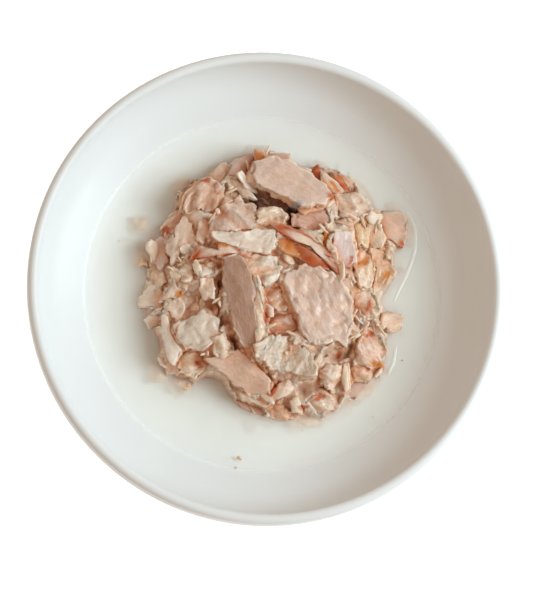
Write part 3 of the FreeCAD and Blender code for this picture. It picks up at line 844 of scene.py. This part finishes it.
def make_flakes(top):
    """The large flakes, by kind."""
    smooth = Kind("smooth_flakes")
    torn = Kind("torn_chunks")
    for number, (tint, look, rise, thick, grain, slope, corners) in enumerate(FLAKES):
        chance = np.random.RandomState(FLAKE_SEED + number)
        corners = np.reshape(corners, (-1, 2))
        middle = corners.mean(0)
        layers = 2 if thick > SPLIT_OVER else 1
        part = thick * (LAYER_SHARE if layers == 2 else 1.0)
        for below in range(layers):
            x, y = middle + chance.uniform(-OUT_OF_LINE, OUT_OF_LINE, 2) * below
            level = flake_level(rise) - SEATED - part / 2 - below * LAYER_SHARE * thick
            outline = (corners - middle) * (1 + 0.05 * below)
            shape, faces, grains, rims = torn_plate(outline, part, chance, grain=grain, **look)
            # Tipped down and outwards, and set at its place.
            points = turned(shape, (-y, x, 0), slope) + (x, y, level)
            layer_tint = "cream" if below and "/" not in tint else tint
            target = smooth if look in (SMOOTH, CRACKED) else torn
            target.add(points, faces, grains + number * 31.7 + below * 7,
                       flesh_colours(points, rims, layer_tint, number + 40 * below))
            top.raise_to(points)
    return smooth, torn


def scatter(top, where, chance, name, library, count, tints, lift, tip):
    """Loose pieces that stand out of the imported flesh, tipped by so many degrees."""
    kind = Kind(name)
    places = np.argwhere(where)
    for index in range(count):
        column, row = places[chance.randint(0, len(places))]
        x, y = top.x[column, row], top.y[column, row]
        points, faces, grains, rims = library[chance.randint(0, len(library))]
        east, north = top.slope(x, y)
        lean = math.degrees(math.atan(math.hypot(east, north)))
        points = turned(points, (1, 0, 0), chance.uniform(-tip, tip))
        points = turned(points, (0, 0, 1), chance.uniform(0, 360))
        if lean > 1:
            points = turned(points, (north, -east, 0), -min(lean, 40) * 0.8)
        points = points + np.array([x, y, top.height[column, row] + lift])
        tint = tints[chance.randint(0, len(tints))]
        kind.add(points, faces, grains + index * 5.3, flesh_colours(points, rims, tint, index % 50))
    for piece in kind.pieces:
        top.raise_to(piece[0])
    return kind


# -------- materials

class Nodes:
    """Short names for building a node material. A value is a number, a colour or another
    node's output, and an input's name has _ for each space."""

    def __init__(self, name):
        self.material = bpy.data.materials.new(name)
        self.material.use_nodes = True
        self.tree = self.material.node_tree
        self.shader = self.tree.nodes["Principled BSDF"]

    def put(self, entry, value):
        if isinstance(value, bpy.types.NodeSocket):
            self.tree.links.new(value, entry)
        else:
            entry.default_value = value

    def set(self, **values):
        for key, value in values.items():
            self.put(self.shader.inputs[key.replace("_", " ")], value)

    def add(self, kind, output=0, **values):
        """A new node's output. What isn't the name of an input is set as a property."""
        node = self.tree.nodes.new("ShaderNode" + kind)
        for key, value in values.items():
            entry = key.replace("_", " ")
            if entry in node.inputs:
                self.put(node.inputs[entry], value)
            else:
                setattr(node, key, value)
        return node.outputs[output]

    def maths(self, operation, *values):
        node = self.tree.nodes.new("ShaderNodeMath")
        node.operation = operation
        for entry, value in zip(node.inputs, values):
            self.put(entry, value)
        return node.outputs[0]

    def product(self, first, second):
        """Two colours multiplied. A colour Mix takes them at inputs 6 and 7."""
        node = self.tree.nodes.new("ShaderNodeMix")
        node.data_type = "RGBA"
        node.blend_type = "MULTIPLY"
        node.inputs["Factor"].default_value = 1.0
        self.put(node.inputs[6], first)
        self.put(node.inputs[7], second)
        return node.outputs[2]

    def ramp(self, value, *stops):
        """A colour ramp through (position, colour) stops: its two ends, then any between."""
        node = self.tree.nodes.new("ShaderNodeValToRGB")
        self.put(node.inputs[0], value)
        elements = node.color_ramp.elements
        for number, (position, colour) in enumerate(stops):
            element = elements[number] if number < 2 else elements.new(position)
            element.position = position
            element.color = (*colour, 1)
        return node.outputs[0]

    def clouded(self, place, colour, scale, detail):
        """A colour with faint darker clouds."""
        clouds = self.add("TexNoise", Vector=place, Scale=scale, Detail=detail)
        return self.ramp(clouds, (0.35, linear(colour) * 0.975), (0.65, linear(colour)))


def glaze_material():
    """White glaze: smooth, glossy, with the faint unevenness of a fired surface."""
    nodes = Nodes("white_glaze")
    place = nodes.add("TexCoord", "Object")
    fine = nodes.add("TexNoise", Vector=place, Scale=60.0, Detail=2.0)
    nodes.set(Base_Color=nodes.clouded(place, GLAZE, 22.0, 3.0),
              Roughness=nodes.add("MapRange", Value=fine, To_Min=0.33, To_Max=0.43),
              Normal=nodes.add("Bump", Height=fine, Strength=0.05, Distance=0.0004),
              Specular_IOR_Level=0.32)
    return nodes.material


def flesh_material(name, crinkle_depth, crinkle_shade):
    """Moist fish flesh: the tint of each flake, crinkled along its grain, soft inside.

    Painted shade darkens its creases to the given crinkle colour, and a painted highlight makes the
    crinkles' ridges a little lighter and cooler.
    """
    nodes = Nodes(name)
    tint = nodes.add("VertexColor", layer_name="tint")
    grain = nodes.add("UVMap", uv_map="grain")
    place = nodes.add("TexCoord", "Object")
    fibres = nodes.add("Mapping", Vector=grain, Scale=(0.16, 1.7, 1.0))
    fibres = nodes.add("TexNoise", Vector=fibres, Scale=1.0, Detail=4.0, Roughness=0.6)
    crinkles = nodes.add("Mapping", Vector=grain, Scale=(0.24, 0.40, 1.0))
    crinkles = nodes.add("TexNoise", Vector=crinkles, Scale=1.0, Detail=3.0, Roughness=0.62,
                         Distortion=0.6)
    # 0 along each crinkle's crease, and up from there.
    crinkles = nodes.maths("ABSOLUTE", nodes.maths("SUBTRACT", crinkles, 0.5))
    crinkles = nodes.maths("MULTIPLY", crinkles, 5.0)
    pores = nodes.add("TexNoise", Vector=place, Scale=900.0, Detail=3.0, Roughness=0.7)
    blotches = nodes.add("TexNoise", Vector=place, Scale=260.0, Detail=2.0)
    colour = nodes.product(tint, nodes.ramp(fibres, (0.30, (0.93, 0.90, 0.87)), (0.62, (1.02,) * 3)))
    # Painted shade in the crinkles' creases and a faint painted highlight on their ridges.
    creases = nodes.ramp(crinkles, (0.0, crinkle_shade), (0.9, (1.03, 1.04, 1.05)),
                         (0.20, (1.0, 0.985, 0.97)))
    fine = nodes.maths("MULTIPLY_ADD", pores, 0.25, fibres)
    fine = nodes.add("Bump", Height=fine, Strength=0.5, Distance=0.0003)
    nodes.set(Base_Color=nodes.product(colour, creases),
              Roughness=nodes.add("MapRange", Value=blotches, To_Min=0.22, To_Max=0.50),
              Normal=nodes.add("Bump", Height=crinkles, Normal=fine, Strength=0.6, Distance=crinkle_depth),
              Subsurface_Weight=0.8, Subsurface_Scale=0.0010, Subsurface_Radius=(1.0, 0.92, 0.86),
              IOR=1.40, Coat_Weight=0.25, Coat_Roughness=0.10)
    return nodes.material


def broth_material(name, alpha):
    """Cloudy liquid: pale, wet, half clear."""
    nodes = Nodes(name)
    nodes.set(Base_Color=nodes.clouded(nodes.add("TexCoord", "Object"), BROTH, 30.0, 2.0),
              Roughness=0.10, IOR=1.34, Alpha=alpha)
    return nodes.material


def bead_material():
    """A bead of broth: clear and very wet."""
    nodes = Nodes("broth_bead")
    nodes.set(Base_Color=(*linear(BROTH), 1), Roughness=0.05, IOR=1.5, Coat_Weight=1.0,
              Coat_Roughness=0.05, Alpha=0.55)
    return nodes.material


# -------- broth

# Small bits adrift on the broth: tint, place and size in mm.
ADRIFT = [("tan", -9.5, -70.0, 2.6), ("tan", -11.0, -74.0, 1.6), ("brown", 59.5, -27.5, 0.9),
          ("brown", 17.0, -58.0, 1.0), ("cream", -61.0, 22.0, 1.6), ("straw", 47.0, -52.0, 1.4)]

# Where the broth's skin beads up beside the heap and catches the light.
BEADS = [[(62, 37), (65.5, 30), (65.7, 21), (62.5, 11), (58.5, 3), (56, -3)],
         [(57, -21), (56, -28), (53.5, -34)]]
BEAD_GIRTH = 0.95

# Near the broth's edge the bowl's wall comes in this far for each mm down, and the broth
# reaches this far into it.
WALL_RUN = 2.1
INTO_WALL = 0.25
# How high the broth climbs where it wets the bowl, and how far from the wall it starts to.
CLIMB = 0.8
CLIMB_WIDTH = 1.1


def make_pool(name, depth, material):
    """One layer of the broth: a flat disc, and at the top a raised edge where it wets the bowl."""
    pool = Kind(name)
    edge = broth_high.x / MM - depth * WALL_RUN + INTO_WALL
    rings = 70
    around = 180
    share = np.linspace(0, 1, rings) ** 0.6
    angles = np.linspace(0, 2 * math.pi, around, endpoint=False)
    radius, angle = [grid.ravel() for grid in np.meshgrid(share * edge, angles, indexing="ij")]
    rise = 0.0 if depth else CLIMB
    top = LEVEL - depth + rise * np.exp((radius - edge) / CLIMB_WIDTH)
    points = np.stack([radius * np.cos(angle), radius * np.sin(angle), top], 1)
    pool.add(points, ring_faces(rings, around), points[:, :2], np.ones(points.shape))
    layer = pool.build(material, "cloudy_broth", "broth")
    # Cloudy liquid passes its light on to what lies in it.
    layer.visible_shadow = False


def make_adrift(chance):
    """Small crumbs that float."""
    bits = Kind("adrift_bits")
    for number, (tint, x, y, size) in enumerate(ADRIFT):
        corners = random_outline(size, 0.7 * size, chance.uniform(0, 180), chance)
        shape, faces, grains, rims = torn_plate(corners, 0.5 * size, chance, step=0.25 * size, ragged=0.1)
        points = shape + np.array([x, y, LEVEL - 0.2])
        bits.add(points, faces, grains, flesh_colours(points, rims, tint, number))
    return bits


def make_beads(material):
    """Raised lines of broth, drawn as thin half-sunk cords that taper at both ends."""
    beads = Kind("broth_beads")
    rows = 60
    around = 10
    for path in BEADS:
        path = np.array(path, float)
        steps = np.linspace(0, len(path) - 1, rows)
        line = np.stack([np.interp(steps, range(len(path)), path[:, axis]) for axis in (0, 1)], 1)
        # Smoothed, so that the corners of the path don't show.
        for _ in range(12):
            line[1:-1] = (line[:-2] + 2 * line[1:-1] + line[2:]) / 4
        way = np.gradient(line, axis=0)
        way /= np.linalg.norm(way, axis=1)[:, None]
        girth = BEAD_GIRTH * np.sin(np.linspace(0, math.pi, rows)) ** 0.4 + 0.02
        turns = np.linspace(0, 2 * math.pi, around, endpoint=False)
        across = np.outer(girth, np.cos(turns))
        x = line[:, :1] + way[:, 1:] * across
        y = line[:, 1:] - way[:, :1] * across
        z = LEVEL + 0.6 * np.outer(girth, np.sin(turns))
        points = np.stack([x, y, z], -1).reshape(-1, 3)
        beads.add(points, ring_faces(rows, around), points[:, :2], np.ones(points.shape))
    bead = beads.build(material, "cloudy_broth", "broth")
    bead.visible_shadow = False


# -------- the part

chance = np.random.RandomState(21)
top = Relief()
packed, wall, share = packed_flesh(top, chance)
smooth, torn = make_flakes(top)
open_flesh = (packed.height > top.height - 0.3) & (packed.height > LEVEL) & (share > 0.5)

medium_shapes = library_of(chance, 24, (8, 14), (0.35, 0.65), (0.9, 1.7), step=0.5,
                           ragged=0.8, fibre=0.10, lump=0.12, fold=1.0, layer=0.3)
shred_shapes = library_of(chance, 20, (5, 11), (0.12, 0.2), (0.7, 1.1), step=0.45,
                          ragged=0.3, fibre=0.05, lump=0.1, fold=0.4, bend=0.8, twist=20)
crumb_shapes = library_of(chance, 20, (1.6, 3.4), (0.5, 0.9), (0.8, 1.5), step=0.4,
                          ragged=0.4, fibre=0.05, lump=0.1, fold=0.6)
medium = scatter(top, open_flesh, chance, "medium_flakes", medium_shapes, 22, PEACH_MIX, 0.0, 22)
shreds = scatter(top, open_flesh, chance, "shreds", shred_shapes, 40, STRAW_MIX, 0.0, 14)
crumbs = scatter(top, open_flesh, chance, "crumbs", crumb_shapes, 20, PEACH_MIX, 0.1, 50)

shade = PaintedLightAndShade(top, LEVEL, share)
# The last colour of each is the painted shade in its crinkles' creases.
satin = flesh_material("satin_flesh", 0.0002, (0.97, 0.90, 0.84))
ragged = flesh_material("torn_flesh", 0.0004, (0.96, 0.82, 0.70))
for kind, material in ((packed_kind(packed, wall), ragged), (smooth, satin), (torn, ragged),
                       (medium, satin), (shreds, satin), (crumbs, ragged)):
    # Painted light and shade by where each piece lies, then the stains.
    for piece in kind.pieces:
        piece[3] = stained_and_gap_shaded(piece[0], shade.tone(piece[0], piece[3]))
    kind.build(material, "tuna_flesh", "tuna_heap")

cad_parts["bowl"].data.materials.clear()
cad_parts["bowl"].data.materials.append(glaze_material())
make_adrift(chance).build(satin, "tuna_flesh", "tuna_heap")
broth_surface = broth_material("broth_surface", 0.42)
make_beads(bead_material())
make_pool("broth_top", 0.0, broth_surface)
make_pool("broth_middle", 1.8, broth_material("broth_inside", 0.42))
make_pool("broth_deep", 3.8, broth_material("broth_depth", 0.55))


# -------- stage

def make_floor():
    """White paper. Seen by the camera it is a little brighter, so that it reads as white."""
    mesh = bpy.data.meshes.new("floor")
    half = 3.0
    mesh.from_pydata([(-half, -half, 0), (half, -half, 0), (half, half, 0), (-half, half, 0)],
                     [], [(0, 1, 2, 3)])
    floor = placed("floor", mesh)
    nodes = Nodes("floor_paper")
    path = nodes.tree.nodes.new("ShaderNodeLightPath")
    seen = path.outputs["Is Camera Ray"]
    for ray in ("Is Glossy Ray", "Is Transmission Ray"):
        seen = nodes.maths("MAXIMUM", seen, path.outputs[ray])
    nodes.set(Base_Color=(0.80, 0.80, 0.80, 1), Roughness=0.9, Emission_Color=(1, 1, 1, 1),
              Emission_Strength=nodes.maths("MULTIPLY", seen, 0.8))
    mesh.materials.append(nodes.material)


def add_light(name, azimuth, elevation, distance, size, power, colour):
    """A square lamp that faces the food. Azimuth 0 is towards +X."""
    data = bpy.data.lights.new(name, "AREA")
    data.shape = "SQUARE"
    data.size = size
    data.energy = power
    data.color = colour
    lamp = placed(name, data)
    a, e = math.radians(azimuth), math.radians(elevation)
    way = Vector((math.cos(a) * math.cos(e), math.sin(a) * math.cos(e), math.sin(e)))
    lamp.location = way * distance
    lamp.rotation_euler = way.to_track_quat("Z", "Y").to_euler()


def add_world():
    """Warm light from all round, as in a room with wooden furniture."""
    world = bpy.data.worlds.new("soft_room")
    world.use_nodes = True
    background = world.node_tree.nodes["Background"]
    background.inputs["Color"].default_value = (1.0, 0.84, 0.70, 1)
    background.inputs["Strength"].default_value = 0.545
    bpy.context.scene.world = world


def add_camera():
    """From almost straight above, 31 degrees round to the front left."""
    azimuth, elevation, distance = math.radians(-31.0), math.radians(79.4), 1.6
    # Width of the view at the rim, in metres, in a picture with these proportions.
    field_width = 0.2279
    height_over_width = 600 / 546
    shift_right, shift_up = 0.00235, -0.0061
    sensor = 36.0
    back = Vector((math.sin(azimuth) * math.cos(elevation),
                   -math.cos(azimuth) * math.cos(elevation), math.sin(elevation)))
    up = Vector((0, 1, 0))
    up = (up - up.dot(back) * back).normalized()
    right = up.cross(back)
    data = bpy.data.cameras.new("camera")
    data.sensor_width = sensor
    data.lens = sensor * distance / (field_width * height_over_width)
    camera = placed("camera", data)
    aim = Vector((0, 0, bowl_high.z)) + right * shift_right + up * shift_up
    camera.location = aim + back * distance
    camera.rotation_mode = "QUATERNION"
    camera.rotation_quaternion = Matrix((right, up, back)).transposed().to_quaternion()
    bpy.context.scene.camera = camera


make_floor()
add_light("key", -3, 38, 1.3, 0.7, 14.2, (0.70, 0.89, 1.0))
add_world()
add_camera()
bpy.context.scene.view_settings.view_transform = "Standard"
